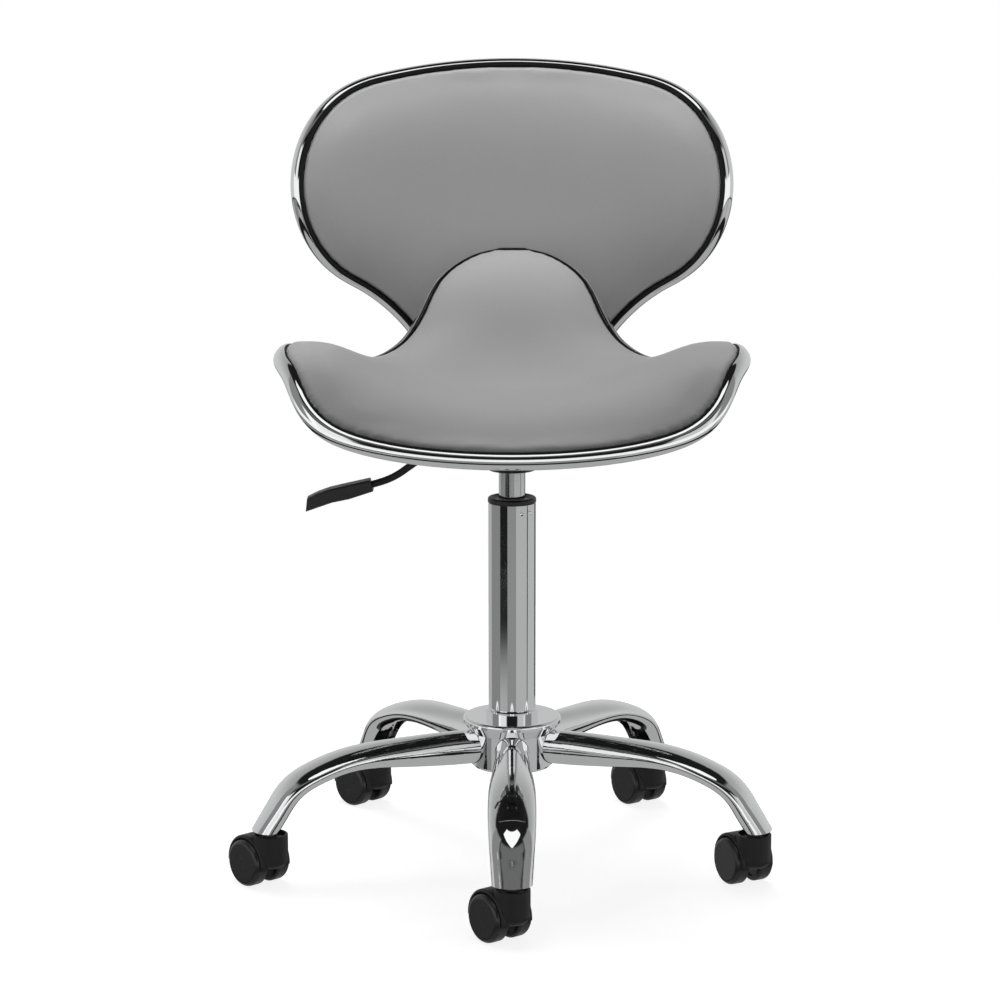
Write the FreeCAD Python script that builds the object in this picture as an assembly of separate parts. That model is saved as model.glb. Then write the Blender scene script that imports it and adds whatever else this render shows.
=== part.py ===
import FreeCAD, Part
import math
import os

from FreeCAD import Vector

# Work stool on five casters: a saddle seat with raised wings and a back of the same
# butterfly outline, both with a bright rim, on a gas lift column and a five-leg base.
# Lengths in mm. The origin is on the floor under the column, +Z is up and -Y is the front.

os.makedirs("parts", exist_ok=True)

# Casters
WHEEL_DIA = 50.0
WHEEL_WIDTH = 17.0
WHEEL_GAP = 12.0
WHEEL_SHOULDER = 5.0
CASTER_TRAIL = 19.5
CASTER_YAWS = (128.0, 118.0, 125.0, 136.0, 133.0)
BOSS_DIA = 37.0
BOSS_DISH = 4.0
BOSS_DROP = 4.5
AXLE_DIA = 6.0
STEM_DIA = 10.0

# Base
LEG_COUNT = 5
FIRST_LEG_ANGLE = -90.0
LEG_REACH = 270.8
LEG_END_Z = WHEEL_DIA + 12.0
LEG_RISE = 71.0
LEG_BEND_RADIUS = 180.0
LEG_BEND_ANGLE = 27.0
LEG_TIP_BEND_RADIUS = 62.0
LEG_DROP_ANGLE = 58.0
LEG_TUBE_DIA = 36.0
LEG_WIDE = 49.0
LEG_FLAT = 23.0
LEG_TIP_WIDE = 40.5
LEG_TIP_FLAT = 24.5
LEG_WALL = 2.2
STEM_INSET = 4.5
HUB_DIA = 88.0
HUB_FLANGE_DIA = 104.5
HUB_LIP = 3.0
HUB_HEIGHT = 54.0
HUB_COLLAR_DIA = 56.0
HUB_COLLAR = 9.0

# Column and gas lift
COLUMN_DIA = 50.0
COLUMN_FOOT_DIA = 48.6
COLUMN_WALL = 2.0
COLUMN_LENGTH = 287.8
BUSH_RIM = 5.2
BUSH_DISH = 2.2
BUSH_LENGTH = 72.0
CYLINDER_DIA = 28.0
CYLINDER_WALL = 2.0
ROD_DIA = 10.0
LIFT_TRAVEL = 130.0
CYLINDER_SHOWN = 29.0
TAPER_DROP = 0.8
DENT_ANGLES = (-66.0, -41.4)
DENT_DROP = 9.0

# Fits
RUN_FIT = 0.05
SEAT_FIT = 0.3

# Seat panel
SEAT_FRONT_Y = -199.4
SEAT_STEP = 5.0
SEAT_SLOPE = 2.5
SEAT_FLAT_RUN = 195.0
SEAT_BEND_RADIUS = 160.0
SEAT_TONGUE_ANGLE = 56.5
SEAT_HALF_WIDTH = 259.8
SEAT_LENGTH = 453.2
SEAT_FRONT_RADIUS = 700.0
SEAT_WING_RADIUS = 125.7
SEAT_WAIST_RADIUS = 267.7
SEAT_TONGUE_RADIUS = 101.1
SEAT_CURL_FRONT = 0.00089
SEAT_CURL = 0.00263
SEAT_CURL_RUN = 85.0
SEAT_FOAM = 30.0

# Back panel
BACK_TOP_Y = 249.0
BACK_RISE = 371.7
BACK_RECLINE = 5.0
BACK_HALF_WIDTH = 250.9
BACK_LENGTH = 360.0
BACK_TOP_RADIUS = 638.7
BACK_WING_RADIUS = 122.7
BACK_WAIST_RADIUS = 189.6
BACK_TAIL_RADIUS = 144.8
BACK_CURL = 0.00218
BACK_FOAM = 28.0
BACK_TAIL_FOAM = 14.0

# Panel make-up, measured from the middle of the shell
SHELL_HALF = 5.0
COVER = 4.4
RIM_DEPTH = 4.0
RIM_FRONT = 7.0
RIM_REAR = 10.0
RIM_STEPS = 6
SEAT_PIPING_WIDE = 2.2
SEAT_PIPING_HIGH = 2.6
BACK_PIPING_WIDE = 5.0
BACK_PIPING_HIGH = 4.2
EDGE_FOAM = 7.0
ROLL = 58.0

# Lift mechanism under the seat
PLATE = 3.0
PLATE_WIDE = 130.0
PLATE_FRONT_Y = -75.0
PLATE_REAR_Y = 84.0
YOKE_WIDE = 64.0
YOKE_LONG = 76.0
YOKE_DEPTH = 28.5
CUP_DIA = 54.0
CUP_DROP = 39.3
LEVER_DIA = 7.5
LEVER_ARM = 26.0
LEVER_NOSE = 3.6
BUTTON_DIA = 8.0
BUTTON_LIFT = 5.5
GRIP_WIDE = 20.0
GRIP_HIGH = 14.5
BOLT_DIA = 6.0
BOLT_X = 45.0
BOLT_FRONT_Y = -60.0
BOLT_REAR_Y = 30.0

# Back bar
BAR_WIDE = 56.0
BAR = 6.0
BAR_BEND = 26.0
BAR_START_Y = 40.0
BAR_RISE = 138.7
BAR_BOLT_X = 15.0
BAR_BOLT_YS = (50.0, 70.0)
BAR_BOLT_DROPS = (67.0, 22.0)

# Levels that follow from the sizes above
LEG_AXIS_Z = LEG_END_Z + LEG_RISE
HUB_BOTTOM_Z = LEG_AXIS_Z - LEG_TUBE_DIA / 2 - 5.0
HUB_TOP_Z = HUB_BOTTOM_Z + HUB_HEIGHT
COLLAR_TOP_Z = HUB_TOP_Z + HUB_COLLAR
COLUMN_FOOT_Z = HUB_BOTTOM_Z - 2.0
COLUMN_TOP_Z = COLUMN_FOOT_Z + COLUMN_LENGTH
CUP_BOTTOM_Z = COLUMN_TOP_Z + BUSH_RIM + CYLINDER_SHOWN
PLATE_TOP_Z = CUP_BOTTOM_Z + CUP_DROP
SEAT_FRONT_Z = PLATE_TOP_Z + SEAT_STEP
BACK_TOP_Z = SEAT_FRONT_Z + BACK_RISE
BAR_TOP_Z = PLATE_TOP_Z + BAR_RISE
NOSE_BOTTOM_Z = PLATE_TOP_Z - 11.0
BUTTON_TOP_Z = NOSE_BOTTOM_Z - 0.2
CYLINDER_TOP_Z = BUTTON_TOP_Z - BUTTON_LIFT
CYLINDER_FOOT_Z = COLUMN_FOOT_Z + 45.0
STEM_RADIUS = LEG_REACH - STEM_INSET
BOSS_TOP_Z = LEG_END_Z - BOSS_DROP
SOCKET_R = HUB_DIA / 2 - 8.0
PLATE_BOTTOM_Z = PLATE_TOP_Z - PLATE
YOKE_BOTTOM_Z = PLATE_TOP_Z - YOKE_DEPTH
CUP_NECK_R = CUP_DIA / 2 - 6.0
PIN_R = 3.0
PIVOT_Z = PLATE_TOP_Z - 9.5
FOOT = 3.0
FOOT_HOLE_R = ROD_DIA / 2 + 3.0
BEARING_TOP_Z = COLUMN_FOOT_Z + FOOT + 7.9
GUIDE_TOP_Z = CYLINDER_FOOT_Z + 12.0
PISTON_Z = GUIDE_TOP_Z + LIFT_TRAVEL + 30.0
COVER_HIGH = -SHELL_HALF - SEAT_FIT
COVER_LOW = COVER_HIGH - COVER
BAR_FACE = -RIM_REAR - SEAT_FIT

UP = Vector(0, 0, 1)
ORIGIN = Vector(0, 0, 0)


def rod(radius, z0, z1, x=0.0, y=0.0):
    return Part.makeCylinder(radius, z1 - z0, Vector(x, y, z0), UP)


def cross_pin(radius, y0, y1, x, z):
    return Part.makeCylinder(radius, y1 - y0, Vector(x, y0, z), Vector(0, 1, 0))


def block(x0, x1, y0, y1, z0, z1):
    return Part.makeBox(x1 - x0, y1 - y0, z1 - z0, Vector(x0, y0, z0))


def turned(points):
    corners = [Vector(r, 0, z) for r, z in points]
    face = Part.Face(Part.makePolygon(corners + corners[:1]))
    return face.revolve(ORIGIN, UP, 360)


def turn(shape, angle):
    copy = shape.copy()
    copy.rotate(ORIGIN, UP, angle)
    return copy


def shift(shape, x=0.0, y=0.0, z=0.0):
    copy = shape.copy()
    copy.translate(Vector(x, y, z))
    return copy


def hexagon(across_flats, z0, z1):
    radius = across_flats / math.sqrt(3)
    corners = [Vector(radius * math.cos(k * math.pi / 3), radius * math.sin(k * math.pi / 3), z0)
               for k in range(7)]
    return Part.Face(Part.makePolygon(corners)).extrude(Vector(0, 0, z1 - z0))


def save(name, shape):
    if isinstance(shape, list):
        shape = Part.makeCompound(shape)
    shape.exportStep("parts/" + name + ".step")
    return shape


class Panel:
    """A butterfly outline of arcs, laid along a bent centre line and curled across it.

    u runs across, s along the centre line from the wide edge, t out of the face.
    """

    def __init__(self, start, across, heading, runs, half_width, length, radii, curl):
        self.start = start
        self.across = across
        self.heading = heading
        self.lift = across.cross(heading)
        self.runs = runs
        self.length = length
        self.curl = curl
        self.wide_r, self.wing_r, self.waist_r, self.tail_r = radii
        wing_u = half_width - self.wing_r
        reach = self.wide_r - self.wing_r
        self.wide_c = (0.0, self.wide_r)
        self.wing_c = (wing_u, self.wide_r - math.sqrt(reach ** 2 - wing_u ** 2))
        self.tail_c = (0.0, length - self.tail_r)
        self.waist_c = self.waist_centre()

    def waist_centre(self):
        du = self.tail_c[0] - self.wing_c[0]
        ds = self.tail_c[1] - self.wing_c[1]
        gap = math.hypot(du, ds)
        near = self.wing_r + self.waist_r
        far = self.tail_r + self.waist_r
        along = (near ** 2 - far ** 2 + gap ** 2) / (2 * gap)
        aside = math.sqrt(near ** 2 - along ** 2)
        eu = du / gap
        es = ds / gap
        return (self.wing_c[0] + along * eu + aside * es, self.wing_c[1] + along * es - aside * eu)

    def outline(self, inset, steps=7):
        """Points (u, s) of the right half, from the middle of the wide edge to the tail tip."""
        def heading(a, b):
            return math.atan2(b[1] - a[1], b[0] - a[0])

        def arc(centre, radius, first, last, count):
            angles = [first + (last - first) * k / count for k in range(count + 1)]
            return [(centre[0] + radius * math.cos(a), centre[1] + radius * math.sin(a)) for a in angles]

        to_wing = heading(self.wide_c, self.wing_c)
        to_waist = heading(self.wing_c, self.waist_c)
        waist_end = heading(self.waist_c, self.tail_c)
        if waist_end < 0:
            waist_end += 2 * math.pi
        to_tail = heading(self.tail_c, self.waist_c)
        points = arc(self.wide_c, self.wide_r - inset, -math.pi / 2, to_wing, steps)
        points += arc(self.wing_c, self.wing_r - inset, to_wing, to_waist, steps + 2)[1:]
        points += arc(self.waist_c, self.waist_r + inset, to_waist + math.pi, waist_end, steps)[1:]
        points += arc(self.tail_c, self.tail_r - inset, to_tail, math.pi / 2, steps)[1:]
        return points

    def stations(self, inset):
        """Half widths along the panel, with one more close to each end."""
        points = self.outline(inset)[1:-1]
        front_u = points[0][0] * 0.5
        front_s = self.wide_c[1] - math.sqrt((self.wide_r - inset) ** 2 - front_u ** 2)
        rear_u = points[-1][0] * 0.5
        rear_s = self.tail_c[1] + math.sqrt((self.tail_r - inset) ** 2 - rear_u ** 2)
        return [(front_u, front_s)] + points + [(rear_u, rear_s)]

    def centre(self, s):
        along = 0.0
        out = 0.0
        angle = 0.0
        left = s
        for run, radius in self.runs + [(1e6, None)]:
            step = min(left, run)
            if radius is None:
                along += step * math.cos(angle)
                out += step * math.sin(angle)
            else:
                after = angle + step / radius
                along += radius * (math.sin(after) - math.sin(angle))
                out += radius * (math.cos(angle) - math.cos(after))
                angle = after
            left -= step
            if left <= 0:
                break
        place = self.start + self.heading * along + self.lift * out
        normal = self.lift * math.cos(angle) - self.heading * math.sin(angle)
        return place, normal

    def point(self, u, s, t):
        place, normal = self.centre(s)
        radius = 1.0 / self.curl(s)
        turn_by = u / radius
        aside = (radius - t) * math.sin(turn_by)
        out = radius - (radius - t) * math.cos(turn_by)
        return place + self.across * aside + normal * out

    def locate(self, x, y):
        """The (u, s) that lies over the point x, y."""
        u = x
        s = y - self.start.y
        for _ in range(60):
            here = self.point(u, s, 0.0)
            u += x - here.x
            s += 0.6 * (y - here.y)
        return u, s

    def edge_distance(self, u, s, inset):
        near = [math.hypot(u - a, s - b) for a, b in self.outline(inset, 16)]
        return min(near)

    def arc(self, s, a, b, c):
        ends = [self.point(u, s, t) for u, t in (a, b, c)]
        return Part.Arc(*ends).toShape()

    def line(self, s, a, b):
        return Part.makeLine(self.point(a[0], s, a[1]), self.point(b[0], s, b[1]))

    def sheet(self, inset, low, high):
        """A sheet of even thickness inside the outline."""
        wires = []
        for w, s in self.stations(inset):
            wires.append(Part.Wire([
                self.arc(s, (-w, low), (0, low), (w, low)),
                self.line(s, (w, low), (w, high)),
                self.arc(s, (w, high), (0, high), (-w, high)),
                self.line(s, (-w, high), (-w, low)),
            ]))
        return Part.makeLoft(wires, True)

    def cushion(self, inset, low, foam):
        """A crowned pad with rolled edges; foam(s) is its full height along the panel."""
        wires = []
        for w, s in self.outline(inset)[1:-1]:
            def top(u):
                share = min(1.0, self.edge_distance(u, s, inset) / ROLL)
                return low + EDGE_FOAM + (foam(s) - EDGE_FOAM) * (1 - (1 - share) ** 2.4)
            inner = w - min(0.62 * w, 46.0)
            part_way = w - 0.3 * (w - inner)
            edge = low + EDGE_FOAM
            wires.append(Part.Wire([
                self.arc(s, (-w, low), (0, low), (w, low)),
                self.line(s, (w, low), (w, edge)),
                self.arc(s, (w, edge), (part_way, top(part_way)), (inner, top(inner))),
                self.arc(s, (inner, top(inner)), (0, top(0)), (-inner, top(inner))),
                self.arc(s, (-inner, top(inner)), (-part_way, top(part_way)), (-w, edge)),
                self.line(s, (-w, edge), (-w, low)),
            ]))
        return Part.makeLoft(wires, True)

    def strip(self, profile):
        """A closed band round the outline; profile holds (inset, t) corners in order."""
        middle = self.outline(0.0)
        walk = [0.0]
        for a, b in zip(middle, middle[1:]):
            walk.append(walk[-1] + math.hypot(b[0] - a[0], b[1] - a[1]))
        knots = [value / walk[-1] for value in walk]
        faces = []
        for side in (1, -1):
            rails = []
            for inset, t in profile:
                points = [self.point(side * u, s, t) for u, s in self.outline(inset)]
                curve = Part.BSplineCurve()
                curve.interpolate(Points=points, Parameters=knots,
                                  InitialTangent=self.across * side, FinalTangent=self.across * -side)
                rails.append(curve.toShape())
            for a, b in zip(rails, rails[1:] + rails[:1]):
                faces.append(Part.makeRuledSurface(a, b))
        shell = Part.makeShell(faces)
        shell.sewShape()
        solid = Part.makeSolid(shell)
        if solid.Volume < 0:
            solid.reverse()
        return solid


def taper_r(z):
    """Radius of the tapered head of the gas cylinder."""
    return CYLINDER_DIA / 2 - TAPER_DROP * (z - CUP_BOTTOM_Z) / (CYLINDER_TOP_Z - CUP_BOTTOM_Z)


def column_r(z):
    """Radius of the tapered foot of the column."""
    share = (z - COLUMN_FOOT_Z) / (COLLAR_TOP_Z - COLUMN_FOOT_Z)
    return COLUMN_FOOT_DIA / 2 + (COLUMN_DIA - COLUMN_FOOT_DIA) / 2 * share


def smooth(x):
    x = max(0.0, min(1.0, x))
    return x * x * (3 - 2 * x)


def seat_curl(s):
    return SEAT_CURL_FRONT + (SEAT_CURL - SEAT_CURL_FRONT) * smooth(s / SEAT_CURL_RUN)


def back_foam(s):
    low = BACK_LENGTH * 0.5
    return BACK_FOAM - (BACK_FOAM - BACK_TAIL_FOAM) * smooth((s - low) / (BACK_LENGTH - low))


seat_slope = math.radians(SEAT_SLOPE)
seat_bend = math.radians(SEAT_TONGUE_ANGLE - SEAT_SLOPE)
seat = Panel(
    Vector(0, SEAT_FRONT_Y, SEAT_FRONT_Z), Vector(1, 0, 0),
    Vector(0, math.cos(seat_slope), math.sin(seat_slope)),
    [(SEAT_FLAT_RUN, None), (SEAT_BEND_RADIUS * seat_bend, SEAT_BEND_RADIUS)],
    SEAT_HALF_WIDTH, SEAT_LENGTH,
    (SEAT_FRONT_RADIUS, SEAT_WING_RADIUS, SEAT_WAIST_RADIUS, SEAT_TONGUE_RADIUS), seat_curl)

recline = math.radians(BACK_RECLINE)
back = Panel(
    Vector(0, BACK_TOP_Y, BACK_TOP_Z), Vector(-1, 0, 0),
    Vector(0, -math.sin(recline), -math.cos(recline)), [],
    BACK_HALF_WIDTH, BACK_LENGTH,
    (BACK_TOP_RADIUS, BACK_WING_RADIUS, BACK_WAIST_RADIUS, BACK_TAIL_RADIUS), lambda s: BACK_CURL)


def rim_profile():
    """A half-round moulding, flat on the side against the shell."""
    half = (RIM_FRONT + RIM_REAR) / 2
    middle = (RIM_FRONT - RIM_REAR) / 2
    angles = [math.radians(-90.0 + 180.0 * k / RIM_STEPS) for k in range(RIM_STEPS + 1)]
    return [(RIM_DEPTH * (1 - math.cos(a)), middle + half * math.sin(a)) for a in angles]


def piping_profile(wide, high):
    low = SHELL_HALF + SEAT_FIT
    top = low + high
    bevel = 0.27 * wide
    outer = RIM_DEPTH + SEAT_FIT
    inner = outer + wide
    return [(outer, low), (outer, top - bevel), (outer + bevel, top),
            (inner - bevel, top), (inner, top - bevel), (inner, low)]


SHELL_INSET = RIM_DEPTH + SEAT_FIT + 0.4
SEAT_PAD_INSET = RIM_DEPTH + SEAT_PIPING_WIDE + 2 * SEAT_FIT + 0.6
BACK_PAD_INSET = RIM_DEPTH + BACK_PIPING_WIDE + 2 * SEAT_FIT + 0.6
PAD_LOW = SHELL_HALF + SEAT_FIT

# Seat panel: shell, pad, piping, rim and the cover underneath
seat_shell = seat.sheet(SHELL_INSET, -SHELL_HALF, SHELL_HALF)
seat_cushion = seat.cushion(SEAT_PAD_INSET, PAD_LOW, lambda s: SEAT_FOAM)
seat_cover = seat.sheet(SHELL_INSET, COVER_LOW, COVER_HIGH)
save("seat_cushion", seat_cushion)
save("seat_piping", seat.strip(piping_profile(SEAT_PIPING_WIDE, SEAT_PIPING_HIGH)))
save("seat_rim", seat.strip(rim_profile()))

# Back panel: the same make-up, with its cover at the rear
back_shell = back.sheet(SHELL_INSET, -SHELL_HALF, SHELL_HALF)
back_cover = back.sheet(SHELL_INSET, COVER_LOW, COVER_HIGH)
save("back_cushion", back.cushion(BACK_PAD_INSET, PAD_LOW, back_foam))
save("back_piping", back.strip(piping_profile(BACK_PIPING_WIDE, BACK_PIPING_HIGH)))
save("back_rim", back.strip(rim_profile()))

# Lift mechanism: a flat plate with a welded yoke that carries the cup and the lever pin
plate = block(-PLATE_WIDE / 2, PLATE_WIDE / 2, PLATE_FRONT_Y, PLATE_REAR_Y, PLATE_BOTTOM_Z, PLATE_TOP_Z)
corners = [e for e in plate.Edges if abs(e.tangentAt(e.FirstParameter).z) > 0.99]
plate = plate.makeFillet(14.0, corners)
yoke = block(-YOKE_LONG / 2, YOKE_LONG / 2, -YOKE_WIDE / 2, YOKE_WIDE / 2, YOKE_BOTTOM_Z, PLATE_BOTTOM_Z)
yoke = yoke.cut(block(-YOKE_LONG, YOKE_LONG, -YOKE_WIDE / 2 + PLATE, YOKE_WIDE / 2 - PLATE,
                      YOKE_BOTTOM_Z + PLATE, PLATE_TOP_Z))
seat_plate = plate.fuse(yoke).removeSplitter()
seat_plate = seat_plate.cut(rod(CUP_NECK_R + RUN_FIT, YOKE_BOTTOM_Z - 1, YOKE_BOTTOM_Z + PLATE + 1))
seat_plate = seat_plate.cut(cross_pin(PIN_R + RUN_FIT, -YOKE_WIDE, YOKE_WIDE, -LEVER_ARM, PIVOT_Z))

taper_cup = turned([
    (taper_r(CUP_BOTTOM_Z) + RUN_FIT, CUP_BOTTOM_Z), (CUP_DIA / 2 - 2.8, CUP_BOTTOM_Z),
    (CUP_DIA / 2, CUP_BOTTOM_Z + 2.6), (CUP_DIA / 2, YOKE_BOTTOM_Z - RUN_FIT),
    (CUP_NECK_R, YOKE_BOTTOM_Z - RUN_FIT), (CUP_NECK_R, CYLINDER_TOP_Z - 1.0),
    (taper_r(CYLINDER_TOP_Z - 1.0) + RUN_FIT, CYLINDER_TOP_Z - 1.0)])
save("taper_cup", taper_cup)

lever_pivot = cross_pin(PIN_R, -YOKE_WIDE / 2 - 1.0, YOKE_WIDE / 2 + 3.0, -LEVER_ARM, PIVOT_Z)
lever_pivot = lever_pivot.fuse(cross_pin(PIN_R + 2.0, -YOKE_WIDE / 2 - 3.0, -YOKE_WIDE / 2 - RUN_FIT,
                                         -LEVER_ARM, PIVOT_Z)).removeSplitter()
save("lever_pivot", lever_pivot)

# Bolts through the plate into tee nuts in the seat shell, with a spacer at each
above_cover = seat.sheet(SHELL_INSET, COVER_LOW - 0.2, 40.0)
plate_bolts = []
plate_spacers = []
tee_nuts = []
for bolt_x in (-BOLT_X, BOLT_X):
    for bolt_y in (BOLT_FRONT_Y, BOLT_REAR_Y):
        u, s = seat.locate(bolt_x, bolt_y)
        middle_z = seat.point(u, s, 0.0).z
        hole = rod(BOLT_DIA / 2 + 0.3, PLATE_BOTTOM_Z - 5, middle_z, bolt_x, bolt_y)
        barrel_hole = rod(BOLT_DIA / 2 + 1.3, middle_z - 12.0, middle_z + 1.0, bolt_x, bolt_y)
        flange_hole = rod(9.2, middle_z, middle_z + 25.0, bolt_x, bolt_y)
        seat_plate = seat_plate.cut(hole)
        seat_cover = seat_cover.cut(hole)
        seat_shell = seat_shell.cut(barrel_hole).cut(flange_hole)
        spacer = rod(9.0, PLATE_TOP_Z + RUN_FIT, PLATE_TOP_Z + 60.0, bolt_x, bolt_y)
        spacer = spacer.cut(hole).cut(above_cover)
        plate_spacers.append(min(spacer.Solids, key=lambda piece: piece.CenterOfMass.z))
        bolt = rod(BOLT_DIA / 2, PLATE_BOTTOM_Z - 1.0, middle_z - 0.5, bolt_x, bolt_y)
        head = shift(hexagon(10.0, PLATE_BOTTOM_Z - 4.5, PLATE_BOTTOM_Z - RUN_FIT), bolt_x, bolt_y)
        plate_bolts.append(bolt.fuse(head).removeSplitter())
        nut = rod(9.0, middle_z + RUN_FIT, middle_z + 1.5, bolt_x, bolt_y)
        nut = nut.fuse(rod(BOLT_DIA / 2 + 1.2, middle_z - 3.2, middle_z + 1.0, bolt_x, bolt_y))
        nut = nut.cut(rod(BOLT_DIA / 2 + RUN_FIT, middle_z - 6.0, middle_z + 3.0, bolt_x, bolt_y))
        tee_nuts.append(nut.removeSplitter())
save("plate_bolts", plate_bolts)
save("plate_spacers", plate_spacers)

# Back bar: a flat steel bar from the plate, bent up behind the tail of the back
bar_turn = math.radians(90.0 - BACK_RECLINE)
bar_z = PLATE_BOTTOM_Z - RUN_FIT - BAR / 2
bar_line = back.start + back.lift * (BAR_FACE - BAR / 2)
bend_end_z = bar_z + BAR_BEND * (1 - math.cos(bar_turn))
bend_end_y = bar_line.y + (bend_end_z - bar_line.z) * math.tan(recline)
bend_y = bend_end_y - BAR_BEND * math.sin(bar_turn)
bar_top_y = bar_line.y + (BAR_TOP_Z - bar_line.z) * math.tan(recline)


def bar_side(offset):
    """Ends of the flat, the bend and the upright on one face of the bar."""
    radius = BAR_BEND - offset
    centre = Vector(0, bend_y, bar_z + BAR_BEND)
    def on_bend(angle):
        return centre + Vector(0, radius * math.sin(angle), -radius * math.cos(angle))
    lean = Vector(0, -math.cos(recline), math.sin(recline)) * offset
    return [Vector(0, BAR_START_Y, bar_z + offset), on_bend(0.0), on_bend(bar_turn / 2), on_bend(bar_turn),
            Vector(0, bar_top_y, BAR_TOP_Z) + lean]


lower = bar_side(-BAR / 2)
upper = bar_side(BAR / 2)
bar_wire = Part.Wire([
    Part.makeLine(lower[0], lower[1]), Part.Arc(lower[1], lower[2], lower[3]).toShape(),
    Part.makeLine(lower[3], lower[4]), Part.makeLine(lower[4], upper[4]), Part.makeLine(upper[4], upper[3]),
    Part.Arc(upper[3], upper[2], upper[1]).toShape(), Part.makeLine(upper[1], upper[0]),
    Part.makeLine(upper[0], lower[0])])
back_bar = Part.Face(bar_wire).extrude(Vector(BAR_WIDE, 0, 0))
back_bar.translate(Vector(-BAR_WIDE / 2, 0, 0))
ends = [e for e in back_bar.Edges if e.Length < BAR * 1.05 and abs(e.tangentAt(e.FirstParameter).x) < 0.01]
back_bar = back_bar.makeFillet(12.0, ends)

bar_bolts = []
bar_nuts = []
for bolt_x in (-BAR_BOLT_X, BAR_BOLT_X):
    for bolt_y in BAR_BOLT_YS:
        hole = rod(BOLT_DIA / 2 + 0.3, bar_z - 20.0, PLATE_TOP_Z + 1.0, bolt_x, bolt_y)
        back_bar = back_bar.cut(hole)
        seat_plate = seat_plate.cut(hole)
        low_z = bar_z - BAR / 2
        bolt = rod(BOLT_DIA / 2, low_z - 1.0, PLATE_TOP_Z + 7.0, bolt_x, bolt_y)
        bolt = bolt.fuse(shift(hexagon(10.0, low_z - 4.5, low_z - RUN_FIT), bolt_x, bolt_y))
        bar_bolts.append(bolt.removeSplitter())
        nut = hexagon(10.0, PLATE_TOP_Z + RUN_FIT, PLATE_TOP_Z + 5.0)
        nut = nut.cut(rod(BOLT_DIA / 2 + RUN_FIT, PLATE_TOP_Z - 1.0, PLATE_TOP_Z + 9.0))
        bar_nuts.append(shift(nut, bolt_x, bolt_y))
    for bolt_drop in BAR_BOLT_DROPS:
        s = (BACK_TOP_Z - BAR_TOP_Z + bolt_drop) / math.cos(recline)
        foot = back.point(0.0, s, 0.0) + Vector(bolt_x, 0, 0)
        ahead = back.lift
        def pin(radius, first, last):
            return Part.makeCylinder(radius, last - first, foot + ahead * first, ahead)
        rear = BAR_FACE - BAR
        back_bar = back_bar.cut(pin(BOLT_DIA / 2 + 0.3, rear - 4.0, 0.0))
        back_cover = back_cover.cut(pin(BOLT_DIA / 2 + 0.3, rear - 4.0, 0.0))
        back_shell = back_shell.cut(pin(BOLT_DIA / 2 + 1.3, -12.0, 1.0)).cut(pin(9.2, 0.0, 12.0))
        bolt = pin(BOLT_DIA / 2, rear - 1.0, -0.5)
        head = pin(5.6, rear - 3.6, rear - RUN_FIT)
        head = head.cut(pin(2.0, rear - 4.0, rear - 1.8))
        bar_bolts.append(bolt.fuse(head).removeSplitter())
        nut = pin(9.0, RUN_FIT, 1.5).fuse(pin(BOLT_DIA / 2 + 1.2, -3.2, 1.0))
        tee_nuts.append(nut.cut(pin(BOLT_DIA / 2 + RUN_FIT, -6.0, 3.0)).removeSplitter())
save("back_bar", back_bar)
save("bar_bolts", bar_bolts)
save("bar_nuts", bar_nuts)
save("tee_nuts", tee_nuts)
save("seat_plate", seat_plate)
save("seat_shell", seat_shell)
save("seat_cover", seat_cover)
save("back_shell", back_shell)
save("back_cover", back_cover)

# Lever: a flat nose over the valve button, a pivot eye, and a rod bent down to the grip
nose_z = NOSE_BOTTOM_Z + LEVER_NOSE
lever_drops = [(0.0, 0.0), (30.0, 3.0), (58.0, 11.0), (80.3, 25.6), (94.0, 35.1), (104.8, 40.5),
               (121.9, 46.0), (150.0, 54.5)]
lever_path = Part.BSplineCurve()
lever_path.interpolate([Vector(-LEVER_ARM - out, 0, PIVOT_Z - down) for out, down in lever_drops])
lever_line = lever_path.toShape()


def along_lever(radius):
    start = lever_path.value(lever_path.FirstParameter)
    heading = lever_line.tangentAt(lever_line.FirstParameter)
    ring = Part.Wire([Part.makeCircle(radius, start, heading)])
    return Part.Wire([lever_line]).makePipeShell([ring], True, True)


lever_rod = along_lever(LEVER_DIA / 2)
lever_rod = lever_rod.fuse(cross_pin(LEVER_NOSE, -6.0, 6.0, 0.0, nose_z))
lever_rod = lever_rod.fuse(block(-LEVER_ARM, 0.0, -6.0, 6.0, NOSE_BOTTOM_Z + 0.8, NOSE_BOTTOM_Z + 6.2))
lever_rod = lever_rod.fuse(cross_pin(5.5, -12.0, 12.0, -LEVER_ARM, PIVOT_Z))
lever_rod = lever_rod.cut(cross_pin(PIN_R + RUN_FIT, -20.0, 20.0, -LEVER_ARM, PIVOT_Z)).removeSplitter()
save("lever_rod", lever_rod)


def grip_section(out, down, wide, high, slope):
    """A box section with bevelled edges across the lever."""
    c = 0.12 * high
    w = wide / 2
    h = high / 2
    run = [(-w + c, -h), (w - c, -h), (w, -h + c), (w, h - c)]
    run += [(-a, -b) for a, b in run]
    tilt = math.radians(slope)
    x = -LEVER_ARM - out
    z = PIVOT_Z - down
    points = [Vector(x + b * math.sin(tilt), a, z + b * math.cos(tilt)) for a, b in run]
    return Part.makePolygon(points + points[:1])


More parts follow.
